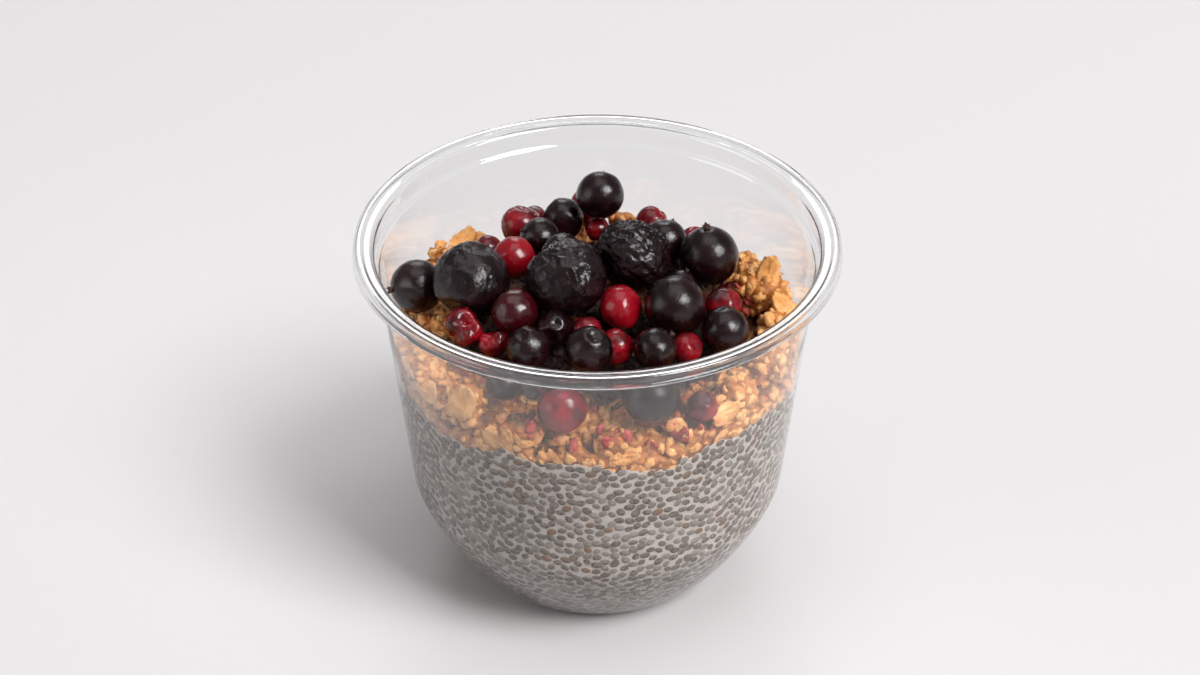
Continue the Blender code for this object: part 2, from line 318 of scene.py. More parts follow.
def turnProfile(name, profile, segments):
    # turn a (radius, height) profile that starts and ends on the axis
    bm = bmesh.new()
    rings = []
    for r, z in profile:
        if r < 1e-6:
            rings.append([bm.verts.new((0, 0, z * mm))])
            continue
        turns = [math.tau * k / segments for k in range(segments)]
        rings.append([bm.verts.new((*spoke(r * mm, a), z * mm)) for a in turns])
    for low, high in zip(rings, rings[1:]):
        bridge(bm, low, high)
    return closeMesh(name, bm)


def clearPlastic():
    # thermoformed clear PET: colourless and glossy, so it shows as bright lines and a faint haze
    mat, tree, shader, where = startMaterial("thermoformedClearPet")
    ripple = addNode(tree, "TexNoise", {"Vector": where, "Scale": perMetre(14), "Detail": 1})
    bump = addNode(tree, "Bump", {"Height": ripple, "Strength": 0.25, "Distance": 0.0006})
    feed(shader, {"Base Color": "#FBFCFC", "Roughness": 0.015, "IOR": 1.57, "Transmission Weight": 1.0,
            "Normal": bump})
    # light passes straight through to what is inside
    ray = addNode(tree, "LightPath")
    straight = addNode(tree, "BsdfTransparent", {"Color": "#F4F4F5"})
    mix = addNode(tree, "MixShader", {0: ray.outputs["Is Shadow Ray"], 1: shader, 2: straight})
    feed(tree.nodes["Material Output"], {"Surface": mix})
    return mat


def makeCup():
    outer = [Vector((0, 0)), Vector((cup["foot"] * 0.5, 0))] + bottomCurve(28)
    kneeZ, topZ = cup["knee"][1], cup["wallTop"][1]
    for step in range(1, 13):
        z = kneeZ + (topZ - kneeZ) * step / 12
        outer.append(Vector((wallRadius(z), z)))
    outer += roundCorners([(*cup["wallTop"], 0)] + cup["rim"])[1:]
    inner = moveSideways(outer, cup["sheet"])
    inner[0] = Vector((0, cup["sheet"]))
    # the lip's cut edge is rounded over
    edgeOut, edgeIn = outer[-1], inner[-1]
    tip = (edgeOut + edgeIn) / 2 - Vector((0, cup["sheet"] * 0.5))
    profile = outer + [tip] + inner[::-1]
    shell = addPiece("clearCup", turnProfile("clearCup", profile, cup["segments"]), clearPlastic())
    carry(shell, "clear_plastic", "cup")
    print("cup: sheet", cup["sheet"], "mm,", len(profile), "points turned", cup["segments"], "times")


# Chia pudding: milk that wets the wall, with swollen seeds pressed against it

pudding = {
    "inset": 0.30,   # milk's skin, measured in from the cup's outer face
    "level": 49.6,
    "turns": 432,
    # height of the milk's edge round the front wall, by degrees from +X
    "edge": {-165: 48.7, -151: 51.0, -142: 48.8, -131: 49.2, -123: 49.4, -115: 52.1, -105: 50.1,
             -99: 51.5, -95: 51.6, -85: 49.5, -71: 48.4, -64: 50.0, -59: 51.4, -47: 51.1,
             -38: 51.4, -25: 49.6, -18: 48.0},
    "scallop": 1.5,   # granola bits dent the edge this deep
    "bead": 0.02,   # how far the drying edge stands out
    "milk": "#C3BBB5",
    "milkPale": "#BDB5AE",
    "milkDeep": "#A69E97",
}

chiaSeed = {
    "long": 1.22,   # half sizes
    "wide": 0.94,
    "deep": 0.13,
    "sides": 12,
    "spacing": 1.70,
    "levelStretch": 1.10,   # rows lie closer than neighbours in a row
    "smallest": 0.80,
    "largest": 1.08,
    "tilt": 68.0,   # degrees either side of level
    "shortOfEdge": 0.05,   # middles of the top seeds lie this far below the milk's edge
    "seed": 4,
}


def edgeHeight(turn):
    # milk's edge at an angle in degrees; the hidden back follows slow waves
    turn = (turn + 180) % 360 - 180
    marks = sorted(pudding["edge"].items())
    back = 49.6 + 0.9 * math.sin(math.radians(turn) * 7 + 0.6) + 0.6 * math.sin(math.radians(turn) * 11 + 2)
    height = back
    for (a, low), (b, high) in zip(marks, marks[1:]):
        if a <= turn <= b:
            t = (turn - a) / (b - a)
            height = low + (high - low) * (3 * t * t - 2 * t ** 3)
    fine = Vector((*spoke(14, math.radians(turn)), 3.1))
    height += 0.35 * noise.noise(fine) + 0.25 * noise.noise(fine * 2.3)
    return height + 0.3 - pudding["scallop"] * abs(noise.noise(fine * 1.9 + Vector((0, 0, 7)))) ** 0.7


def milkSkin(turn, edge, inset):
    # (radius, height) points of the milk's outer face at one angle, foot to edge
    points = [Vector((0, inset)), Vector((cup["foot"] * 0.35, inset)), Vector((cup["foot"] * 0.7, inset))]
    points += moveSideways(bottomCurve(26), inset)
    kneeZ = cup["knee"][1]
    for step in range(1, 31):
        z = kneeZ + (edge - kneeZ) * step / 30
        points.append(Vector((wallRadius(z) - inset, z)))
    return points


def gridMesh(name, rows):
    # rows of points, one row for each turn round the axis
    bm = bmesh.new()
    grid = [[bm.verts.new(p) for p in row] for row in rows]
    count = len(grid)
    for k in range(count):
        near, far = grid[k], grid[(k + 1) % count]
        for i in range(len(near) - 1):
            bm.faces.new((near[i], far[i], far[i + 1], near[i + 1]))
    bmesh.ops.remove_doubles(bm, verts=bm.verts, dist=1e-7)
    return closeMesh(name, bm)


def milkMaterial():
    # thickened milk: soft pale grey with cloudier patches, and a whiter line where it dries
    mat, tree, shader, where = startMaterial("thickenedMilk")
    cloud = addNode(tree, "TexNoise", {"Vector": where, "Scale": perMetre(9), "Detail": 3})
    blot = addNode(tree, "TexVoronoi", {"Vector": where, "Scale": perMetre(2.3)}, feature="SMOOTH_F1")
    deep = addNode(tree, "MapRange", {0: blot, 1: 0.15, 2: 0.5, 3: 0.45, 4: 0.0})
    patch = addNode(tree, "MapRange", {0: cloud, 1: 0.48, 2: 0.66, 3: 0.0, 4: 0.8})
    base = addNode(tree, "Mix", {0: deep, 6: pudding["milk"], 7: pudding["milkDeep"]})
    tone = addNode(tree, "Mix", {0: patch, 6: base, 7: pudding["milk"]})
    below = addNode(tree, "Attribute", attribute_name="belowEdge")
    rim = addNode(tree, "MapRange", {0: below.outputs["Fac"], 1: 0.05, 2: 0.35, 3: 0.4, 4: 0.0})
    final = addNode(tree, "Mix", {0: rim, 6: tone, 7: pudding["milkPale"]})
    feed(shader, {"Base Color": final, "Roughness": 0.45, "IOR": 1.35})
    return mat


def seedMaterial():
    # soaked chia coat: olive grey, marbled darker and browner, cloudy where the milk laps over
    mat, tree, shader, where = startMaterial("soakedChiaCoat")
    marble = addNode(tree, "TexNoise", {"Vector": where, "Scale": perMetre(0.55), "Detail": 3})
    spread = addNode(tree, "MapRange", {0: marble, 1: 0.38, 2: 0.66})
    mottle = addNode(tree, "Mix", {0: spread, 6: "#857A70", 7: "#51453A"})
    tone = addNode(tree, "Attribute", attribute_name="tone")
    brown = addNode(tree, "MapRange", {0: tone.outputs["Fac"], 1: 0.90, 2: 0.96})
    body = addNode(tree, "Mix", {0: brown, 6: mottle, 7: "#80664F"})
    sunk = addNode(tree, "MapRange", {0: tone.outputs["Fac"], 1: 0.0, 2: 0.6, 3: 0.45, 4: 0.0})
    faded = addNode(tree, "Mix", {0: sunk, 6: body, 7: "#B8AFA7"})
    reach = addNode(tree, "Attribute", attribute_name="seedPlace")
    out = addNode(tree, "VectorMath", {0: reach.outputs["Vector"]}, operation="LENGTH")
    halo = addNode(tree, "MapRange", {0: out, 1: 0.80, 2: 1.0, 3: 0.0, 4: 0.9})
    final = addNode(tree, "Mix", {0: halo, 6: faded, 7: "#D6CEC7"})
    feed(shader, {"Base Color": final, "Roughness": 0.4})
    return mat


def makeSeedShape():
    # low seed, pointed a little at its ends, with its place kept for the halo
    bm = bmesh.new()
    rings = [(0.97, -0.25), (0.80, 0.62)]
    layer = bm.verts.layers.float_vector.new("seedPlace")
    sides = chiaSeed["sides"]

    def put(across, up, turn):
        nip = 1 - 0.12 * abs(math.cos(turn)) ** 6
        x, y = spoke(across, turn)
        place = Vector((chiaSeed["long"] * x, chiaSeed["wide"] * y * nip, chiaSeed["deep"] * up))
        vert = bm.verts.new(place * mm)
        vert[layer] = (x, y, 0)
        return vert

    loops = [[put(0, -1, 0)]]
    loops += [[put(across, up, math.tau * k / sides) for k in range(sides)] for across, up in rings]
    loops.append([put(0, 1, 0)])
    for low, high in zip(loops, loops[1:]):
        bridge(bm, low, high)
    return closeMesh("chiaSeedShape", bm)


def startTree(name, inputs):
    tree = bpy.data.node_groups.new(name, "GeometryNodeTree")
    tree.is_modifier = True
    tree.interface.new_socket("Ground", in_out="INPUT", socket_type="NodeSocketGeometry")
    for label, kind in inputs.items():
        tree.interface.new_socket(label, in_out="INPUT", socket_type="NodeSocket" + kind)
    tree.interface.new_socket("Grown", in_out="OUTPUT", socket_type="NodeSocketGeometry")
    return tree, addNode(tree, "NodeGroupInput").outputs


def growFrom(ground, tree, name, **given):
    # run a tree on an object and hand back the result as a plain mesh
    grow = ground.modifiers.new("grow", "NODES")
    grow.node_group = tree
    sockets = {item.name: item.identifier for item in tree.interface.items_tree if item.in_out == "INPUT"}
    for label, value in given.items():
        grow[sockets[label]] = value
    graph = bpy.context.evaluated_depsgraph_get()
    mesh = bpy.data.meshes.new_from_object(ground.evaluated_get(graph), depsgraph=graph)
    ground.modifiers.remove(grow)
    mesh.name = name
    return addPiece(name, mesh)


def plantShapes(tree, given, sizeSeed, toneSeed, **feeds):
    # shapes on points, each with its own size and tone, made real
    size = addNode(tree, "FunctionNodeRandomValue", {2: given["Smallest"], 3: given["Largest"],
            8: sizeSeed})
    laid = addNode(tree, "GeometryNodeInstanceOnPoints", {"Scale": size, **feeds})
    draw = addNode(tree, "FunctionNodeRandomValue", {8: toneSeed})
    toned = addNode(tree, "GeometryNodeStoreNamedAttribute",
            {"Geometry": laid, "Name": "tone", "Value": draw}, data_type="FLOAT", domain="INSTANCE")
    return addNode(tree, "GeometryNodeRealizeInstances", {0: toned})


def endTree(tree, grown, finish):
    done = addNode(tree, "GeometryNodeSetMaterial", {"Geometry": grown, "Material": finish})
    addNode(tree, "NodeGroupOutput", {0: done})
    return tree


def seedTree():
    tree, given = startTree("pressSeeds", {"Shape": "Object", "Spacing": "Float", "Stretch": "Float",
                                           "Smallest": "Float", "Largest": "Float", "Tilt": "Float",
                                           "Seed": "Int", "Finish": "Material"})
    here = addNode(tree, "GeometryNodeInputPosition")
    tall = addNode(tree, "CombineXYZ", {0: 1.0, 1: 1.0, 2: given["Stretch"]})
    up = addNode(tree, "VectorMath", {0: here, 1: tall}, operation="MULTIPLY")
    drawn = addNode(tree, "GeometryNodeSetPosition", {"Geometry": given["Ground"], "Position": up})
    spots = addNode(tree, "GeometryNodeDistributePointsOnFaces",
            {"Mesh": drawn, "Distance Min": given["Spacing"], "Density Max": 3e6, "Seed": given["Seed"]},
            distribute_method="POISSON")
    down = addNode(tree, "VectorMath", {0: here, 1: tall}, operation="DIVIDE")
    back = addNode(tree, "GeometryNodeSetPosition", {"Geometry": spots, "Position": down})
    # true normal of the wall at each spot
    outward = addNode(tree, "GeometryNodeSampleNearestSurface",
            {"Mesh": given["Ground"], "Value": addNode(tree, "GeometryNodeInputNormal")},
            data_type="FLOAT_VECTOR")
    level = addNode(tree, "VectorMath", {0: (0.02, 0.0, 1.0), 1: outward}, operation="CROSS_PRODUCT")
    facing = addNode(tree, "FunctionNodeAxesToRotation", {0: outward, 1: level}, primary_axis="Z",
            secondary_axis="X")
    most = addNode(tree, "Math", {0: given["Tilt"], 1: -1.0}, operation="MULTIPLY")
    lean = addNode(tree, "FunctionNodeRandomValue", {2: most, 3: given["Tilt"], 8: 1})
    roll = addNode(tree, "FunctionNodeAxisAngleToRotation", {0: (0, 0, 1), 1: lean})
    turned = addNode(tree, "FunctionNodeRotateRotation", {0: facing, 1: roll}, rotation_space="LOCAL")
    shape = addNode(tree, "GeometryNodeObjectInfo", {0: given["Shape"]})
    real = plantShapes(tree, given, 2, 3, Points=back, Instance=shape.outputs["Geometry"], Rotation=turned)
    return endTree(tree, real, given["Finish"])


def makePudding():
    rows, skins = [], []
    for k in range(pudding["turns"]):
        turn = 360 * k / pudding["turns"]
        edge = edgeHeight(turn)
        skin = milkSkin(turn, edge, pudding["inset"])
        spin = Matrix.Rotation(math.radians(turn), 3, "Z")
        under = milkSkin(turn, edge - chiaSeed["shortOfEdge"], pudding["inset"])
        skins.append([spin @ Vector((p.x, 0, p.y)) * mm for p in under])
        lip = wallRadius(edge) - pudding["inset"]
        skin[-1].x += pudding["bead"]
        level = pudding["level"]
        skin += [Vector((lip + pudding["bead"] * 0.6, edge + 0.08)), Vector((lip - 0.2, edge + 0.05)),
                 Vector((lip - 0.5, edge - 0.7)), Vector((lip - 1.2, edge - 1.4)),
                 Vector((lip * 0.9, (edge + level) * 0.5)), Vector((lip * 0.5, level)), Vector((0, level))]
        rows.append([spin @ Vector((p.x, 0, p.y)) * mm for p in skin])
    ground = addPiece("seedGround", gridMesh("seedGround", skins))
    milk = addPiece("milk", gridMesh("milk", rows), milkMaterial())
    depths = []
    for v in milk.data.vertices:
        turn = math.degrees(math.atan2(v.co.y, v.co.x))
        depths.append(max(0.0, edgeHeight(turn) - v.co.z / mm))
    paint(milk.data, "belowEdge", depths)
    carry(milk, "pudding", "chia_pudding")

    shape = addPiece("chiaSeedShape", makeSeedShape())
    seeds = growFrom(ground, seedTree(), "chiaSeeds", Shape=shape, Spacing=chiaSeed["spacing"] * mm,
                     Stretch=chiaSeed["levelStretch"], Smallest=chiaSeed["smallest"],
                     Largest=chiaSeed["largest"], Tilt=math.radians(chiaSeed["tilt"]),
                     Seed=chiaSeed["seed"], Finish=seedMaterial())
    bpy.data.objects.remove(shape)
    bpy.data.objects.remove(ground)
    carry(seeds, "pudding")
    perSeed = 2 + chiaSeed["sides"] * 2
    print("pudding:", len(seeds.data.vertices) // perSeed, "chia seeds on", len(milk.data.polygons),
            "faces of milk")


# Berries: one piece for each CAD berry, at its place and size

berryKinds = {
    # detail is icosphere steps; depths and heights are shares of the radius
    "currant": {"detail": 4, "sag": 0.02, "crease": 0.010, "marks": 3.2, "run": 0.6, "fine": 0.002,
                "dents": 1, "dentDepth": 0.04, "pit": 0.05, "pitWide": 0.22, "lip": 0.012},
    "cranberry": {"detail": 4, "sag": 0.035, "crease": 0.022, "marks": 2.6, "run": 0.5, "fine": 0.003,
                  "dents": 4, "dentDepth": 0.09, "pit": 0.07, "pitWide": 0.20, "lip": 0.015},
    "blueberry": {"detail": 5, "sag": 0.06, "crease": 0.055, "marks": 4.4, "run": 0.5, "fine": 0.014,
                  "dents": 4, "dentDepth": 0.10, "pit": 0.06, "pitWide": 0.24, "lip": 0.02},
}

# way that each berry's dried flower end faces, in the order of the nodes' numbers
flowerWays = {
    "cranberry": [(-0.3, 0.9, 0.3), (0.3, -0.5, 0.8), (0.4, 0.7, 0.5), (-0.4, 0.3, 0.9),
        (0.6, -0.4, 0.5), (-0.4, -0.5, 0.6), (0.5, 0.4, 0.6), (0.2, 0.4, 0.8), (0.1, -0.9, 0.2),
        (-0.6, 0.2, 0.5), (-0.2, 0.8, 0.4), (0.3, 0.6, 0.6), (-0.4, 0.5, 0.7), (0.2, -0.3, -0.8),
        (-0.7, 0.5, 0.5), (0.6, -0.2, 0.6), (-0.2, 0.8, 0.5), (0.1, -0.8, -0.3), (-0.3, 0.7, 0.6)],
    "currant": [(0.2, -0.3, 0.9), (0.3, -0.3, -0.6), (-1.0, -0.4, 0.1), (-0.3, -0.3, 0.9),
        (-0.5, 0.5, 0.6), (-0.2, 0.2, 1.0), (0.2, -0.6, 0.7), (0.7, 0.3, 0.6), (0.3, 0.3, 0.8),
        (-0.8, -0.2, 0.6), (0.2, 0.6, 0.8), (0.3, 0.8, 0.4), (0.2, -0.3, 0.9), (-0.3, 0.4, 0.8),
        (-0.1, 0.2, 1.0), (0.4, 0.9, -0.2), (0.1, 0.9, 0.4)],
    "blueberry": [(-0.5, 0.5, -0.7), (0.8, -0.1, -0.5), (0.4, -0.6, 0.5)],
}

# what sets a berry apart from its kind
berryLooks = {
    "blueberry_01": {"crease": 0.022, "marks": 2.8, "dents": 5, "dentDepth": 0.12},
    "blueberry_02": {"long": 1.12, "run": 0.22, "crease": 0.11},
    "blueberry_03": {"crease": 0.05, "marks": 5.2},
    "cranberry_04": {"dents": 1, "crease": 0.008},
    "cranberry_05": {"dents": 9, "dentDepth": 0.3, "crease": 0.1},
    "cranberry_06": {"dents": 10, "dentDepth": 0.3, "crease": 0.1},
    "cranberry_10": {"dents": 6},
    "cranberry_12": {"dents": 7, "dentDepth": 0.15},
    # cranberry_17's low value is painted shade: that berry is darkened because it lies in shadow
    "cranberry_17": {"crease": 0.012, "ripenessAndShade": 0.0},
    "cranberry_18": {"ripenessAndShade": 0.9},
    "cranberry_19": {"long": 1.1, "ripenessAndShade": 0.9},
    "currant_04": {"crown": True},
    "currant_05": {"dents": 4, "dentDepth": 0.08},
    "currant_06": {"crease": 0.03, "dents": 4},
    "currant_07": {"crown": True, "crease": 0.04, "dents": 7, "dentDepth": 0.12},
    "currant_13": {"crown": True},
}

berrySwell = 1.04   # skins are this much larger than the flat-sided solids
withTuft = ("currant_03", "currant_08", "currant_09", "currant_10", "currant_11", "currant_12",
            "currant_15", "currant_17")


def skinRadius(p, look, shift, dents):
    # radius of the skin in direction p, with +Z at the flower end, for a berry of radius 1
    r = 1 + look["sag"] * noise.noise(p * 1.7 + shift)
    warp = 0.5 * noise.noise_vector(p * 1.3 - shift)
    q = Vector((p.x, p.y, p.z * look["run"])) + warp * 0.35
    for size, share in ((1.0, 1.0), (2.3, 0.45)):
        line = abs(noise.noise(q * look["marks"] * size + shift * 2))
        r -= look["crease"] * share * max(0.0, 1 - line / 0.22) ** 1.5
    r += look["fine"] * noise.noise(p * 14 + shift)
    for way, reach in dents:
        near = (p.dot(way) - reach) / (1 - reach)
        if near > 0:
            r -= look["dentDepth"] * (3 * near ** 2 - 2 * near ** 3)
    polar = math.acos(max(-1.0, min(1.0, p.z)))
    wide = look["pitWide"]
    if polar < wide:
        r -= look["pit"] * (1 - (polar / wide) ** 2)
    r += look["lip"] * math.exp(-((polar - wide) / (wide * 0.3)) ** 2)
    return r


def berryMesh(node, kind, centre, radius, facing):
    look = {"long": 1.0, "ripenessAndShade": 0.5, **berryKinds[kind], **berryLooks.get(node, {})}
    if look.get("crown"):
        look.update(pit=0.14, pitWide=0.36, lip=0.06)
    draw = random.Random(node)
    shift = Vector(draw.uniform(-20, 20) for _ in range(3))
    dents = []
    for _ in range(look["dents"]):
        way = Vector(draw.uniform(-1, 1) for _ in range(3)).normalized()
        dents.append((way, math.cos(draw.uniform(0.35, 0.8))))
    bm = bmesh.new()
    bmesh.ops.create_icosphere(bm, subdivisions=look["detail"], radius=1.0)
    for v in bm.verts:
        p = v.co.normalized()
        v.co = p * skinRadius(p, look, shift, dents)
        v.co.z *= look["long"]
    reach = sum(v.co.length for v in bm.verts) / len(bm.verts)
    turn = facing.to_track_quat("Z", "Y").to_matrix().to_4x4()
    place = Matrix.Translation(centre) @ turn @ Matrix.Scale(radius / reach, 4)
    bmesh.ops.transform(bm, matrix=place, verts=bm.verts)
    mesh = closeMesh(node, bm)
    paint(mesh, "ripenessAndShade", [look["ripenessAndShade"]] * len(mesh.vertices))
    return mesh


def darkSkin(name, deep, sheen, speck, rough, grain, depth):
    # waxy dark berry skin: almost black, faintly purple, with a broken soft gloss
    mat, tree, shader, where = startMaterial(name)
    cloud = addNode(tree, "TexNoise", {"Vector": where, "Scale": perMetre(3.0), "Detail": 4})
    bloom = addNode(tree, "MapRange", {0: cloud, 1: 0.42, 2: 0.72})
    base = addNode(tree, "Mix", {0: bloom, 6: deep, 7: sheen})
    dots = addNode(tree, "TexVoronoi", {"Vector": where, "Scale": perMetre(0.7)})
    small = addNode(tree, "MapRange", {0: dots, 1: 0.10, 2: 0.22, 3: 0.7, 4: 0.0})
    final = addNode(tree, "Mix", {0: small, 6: base, 7: speck})
    gloss = addNode(tree, "MapRange", {0: cloud, 1: 0.3, 2: 0.7, 3: rough, 4: rough + 0.14})
    wax = addNode(tree, "TexNoise", {"Vector": where, "Scale": perMetre(grain), "Detail": 3})
    bump = addNode(tree, "Bump", {"Height": wax, "Strength": 0.8, "Distance": depth * mm})
    feed(shader, {"Base Color": final, "Roughness": gloss, "Normal": bump, "IOR": 1.45,
            "Coat Weight": 0.12, "Coat Roughness": 0.08})
    return mat


def redSkin():
    # thawed cranberry skin: deep wine red, brighter where it is thin, darker on a berry given painted
    # shade, wet gloss
    mat, tree, shader, where = startMaterial("thawedCranberrySkin")
    cloud = addNode(tree, "TexNoise", {"Vector": where, "Scale": perMetre(4.0), "Detail": 4})
    ripenessAndShade = addNode(tree, "Attribute", attribute_name="ripenessAndShade")
    mixed = addNode(tree, "Math", {0: ripenessAndShade.outputs["Fac"], 1: 0.5, 2: -0.25}, operation="MULTIPLY_ADD")
    total = addNode(tree, "Math", {0: mixed, 1: cloud}, operation="ADD")
    thinSkinAndShade = addNode(tree, "MapRange", {0: total, 1: 0.36, 2: 0.66})
    base = addNode(tree, "Mix", {0: thinSkinAndShade, 6: "#3C060D", 7: "#92081A"})
    wax = addNode(tree, "TexNoise", {"Vector": where, "Scale": perMetre(0.6), "Detail": 3})
    bump = addNode(tree, "Bump", {"Height": wax, "Strength": 0.3, "Distance": 0.00008})
    feed(shader, {"Base Color": base, "Normal": bump, "Roughness": 0.22, "Subsurface Weight": 0.15,
            "Subsurface Radius": (0.002, 0.0004, 0.0004), "Subsurface Scale": 1.0, "Coat Weight": 0.15,
            "Coat Roughness": 0.08})
    return mat


def dryMaterial(name, grainSize, detail, dark, pale, rough, depth=0):
    # matt and papery, or crumbly where a depth is given
    mat, tree, shader, where = startMaterial(name)
    grain = addNode(tree, "TexNoise", {"Vector": where, "Scale": perMetre(grainSize), "Detail": detail})
    base = addNode(tree, "Mix", {0: grain, 6: dark, 7: pale})
    feed(shader, {"Base Color": base, "Roughness": rough})
    if depth:
        bump = addNode(tree, "Bump", {"Height": grain, "Strength": 0.6, "Distance": depth * mm})
        feed(shader, {"Normal": bump})
    return mat


def addTuft(bm, centre, way, radius, draw):
    # a little crown of withered tips
    sides = 10
    turn = way.to_track_quat("Z", "Y").to_matrix()
    start = centre + way * radius * 0.93
    rings = []
    for level, (wide, up) in enumerate(((0.12, 0.0), (0.10, 0.08), (0.14, 0.14), (0.04, 0.08))):
        ring = []
        for k in range(sides):
            jag = 0.1 * (k % 2) if level == 2 else 0
            local = Vector((*spoke(wide, math.tau * k / sides), up + jag))
            local += Vector(draw.uniform(-0.02, 0.02) for _ in range(3))
            ring.append(bm.verts.new(start + turn @ local * radius))
        rings.append(ring)
    for low, high in zip(rings, rings[1:]):
        bridge(bm, low, high)
    bm.faces.new(rings[0][::-1])
    bm.faces.new(rings[-1])


def makeBerries():
    skins = {
        "currant": darkSkin("waxyCurrantSkin", "#140406", "#240A0E", "#34170F", 0.15, 0.45, 0.10),
        "cranberry": redSkin(),
        "blueberry": darkSkin("witheredBlueberrySkin", "#120507", "#220D12", "#20120F", 0.18, 0.9, 0.30),
    }
    tufts = bmesh.new()
    laid = []
    for kind in sorted(flowerWays):
        for number, way in enumerate(flowerWays[kind], 1):
            node = f"{kind}_{number:02d}"
            way = Vector(way)
            low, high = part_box(node)
            centre = (low + high) / 2
            radius = max(high - low) / 2 * berrySwell
            laid.append((centre, radius))
            mesh = berryMesh(node, kind, centre, radius, way)
            carry(addPiece(node + "_skin", mesh, skins[kind]), kind + "_skin", node)
            if node in withTuft:
                addTuft(tufts, centre, way.normalized(), radius, random.Random(node))
    # papery flower remnant: dull brown
    papery = dryMaterial("driedFlowerRemnant", 0.4, 3, "#2A1510", "#5A3326", 0.7)
    flowers = addPiece("currantFlowerEnds", closeMesh("currantFlowerEnds", tufts), papery)
    carry(flowers, "currant_skin")
    print("berries:", len(laid))
    return laid


# Granola: a rough core with clusters, covered in crumbs and oat flakes

granola = {
    "top": 62.3,
    "bottom": 50.5,
    "crestY": 4.0,
    "tilt": 0.6,
    "side": (41.0, 6.3),   # reach, and how far the heap falls over it
    "front": (45.0, 9.0),
    "back": (37.0, 8.5),
    "sink": 2.4,   # the core lies this far under the heap's height
    "coreEdge": 37.5,
    "voxel": 0.5,
    "grain": 1.8,   # pebbly relief: grain size and depth
    "relief": 0.8,
    # clusters that show: x, y, radius, lift of the middle as a share of the radius
    "clusters": [(32.0, 2.0, 5.8, 0.50), (35.5, -7.5, 4.4, 0.35), (33.0, -17.0, 4.6, 0.45),
                 (26.5, -26.5, 4.6, 0.40), (-24.5, -27.5, 4.8, 0.55), (-32.5, -18.5, 4.4, 0.45),
                 (-14.0, -35.0, 4.0, 0.20), (3.0, -38.0, 3.4, 0.10), (19.0, -37.0, 3.4, 0.10),
                 (-37.5, -8.5, 3.0, 0.30), (5.5, 33.0, 4.4, 0.20), (-31.0, 20.0, 4.0, 0.0),
                 (-24.5, 27.0, 3.4, -0.3), (20.5, 27.0, 3.4, -0.3), (31.0, 16.5, 3.2, -0.5)],
    "wallClumps": 22,
    "wallReach": (35.0, 38.5),
    "wallSizes": (3.2, 5.0),
    "topClumps": 30,
    "topReach": 34.0,
    "topSizes": (2.4, 3.8),
    "footBits": 120,
    "footSizes": (1.3, 2.3),
    "leastClump": 1.2,   # smaller clumps are left out
    "crust": 0.5,   # how thick the crumbs lie on a clump
    "backFromY": 8.0,   # behind this the clumps lie lower
    "clearOfWall": 0.12,   # gaps to the wall: for pieces, for the core and for clumps before they are fused
    "coreGap": 0.3,
    "clumpGap": 0.5,
    "berryGap": 0.3,
    "smoothing": 70,   # rounds that even out the heap, to find the gaps between clumps
    "hollowShadeDeep": 1.1,   # a spot this far under the evened heap gets quite dark painted shade
    "soaked": 4.0,   # juice reaches this far from a berry
    "crowd": 1.5,   # so many berries over it make the granola dark: pooled juice and painted shade
    "shadePool": 30.5,   # juice and painted shade pool this far from the middle
    "frontShadeFrom": 55.5,   # and darken the front wall above this height, out to this far from the middle: run-down juice and painted shade
    "frontShadeWide": 24.0,
    "reddens": 0.42,   # juice up to this only reddens, and beyond it darkens as pooled juice and painted shade
}

scatterKinds = {
    # spacing, smallest and largest scale of a shape 1 mm in half size, how flat they lie
    "granolaCrumbs": {"spacing": 2.1, "smallest": 0.5, "largest": 1.3, "lie": 0.0, "shapes": "crumb",
                      "seed": 3, "clear": 0.6, "crumple": 0.7},
    "granolaNuggets": {"spacing": 3.6, "smallest": 1.0, "largest": 1.7, "lie": 0.2, "shapes": "crumb",
                       "seed": 8, "clear": 1.2, "crumple": 0.8},
    "oatFlakes": {"spacing": 6.4, "smallest": 1.9, "largest": 2.8, "lie": 0.75, "shapes": "flake",
                  "seed": 21, "clear": 2.0, "crumple": 0.4},
}


def pressInside(mesh):
    # what would poke through the wall is pressed flat against it
    for v in mesh.vertices:
        v.co = keepInside(v.co / mm, granola["clearOfWall"]) * mm
    mesh.update()


def heapHeight(x, y):
    # bare height of the granola, a dome that falls to the wall
    reach, fall = granola["front"] if y < granola["crestY"] else granola["back"]
    sideReach, sideFall = granola["side"]
    along = (y - granola["crestY"]) / reach
    across = x / sideReach
    return granola["top"] - sideFall * across ** 2 - fall * along ** 2 + granola["tilt"] * across


def clearOf(centre, radius, laid):
    # largest radius that keeps clear of the berries
    for place, reach in laid:
        radius = min(radius, (centre - place / mm).length - reach / mm - granola["berryGap"])
    return radius


def addLump(bm, centre, halfSizes, draw):
    lump = bmesh.new()
    bmesh.ops.create_icosphere(lump, subdivisions=3, radius=1.0)
    turn = Euler([draw.uniform(-0.5, 0.5), draw.uniform(-0.5, 0.5), draw.uniform(0, math.tau)]).to_matrix()
    shift = Vector(draw.uniform(-9, 9) for _ in range(3))
    for v in lump.verts:
        p = v.co * (1 + 0.35 * noise.noise(v.co * 1.3 + shift))
        place = centre + turn @ Vector(a * b for a, b in zip(p, halfSizes))
        v.co = keepInside(place, granola["clumpGap"]) * mm
    mesh = bpy.data.meshes.new("lump")
    lump.to_mesh(mesh)
    lump.free()
    bm.from_mesh(mesh)
    bpy.data.meshes.remove(mesh)


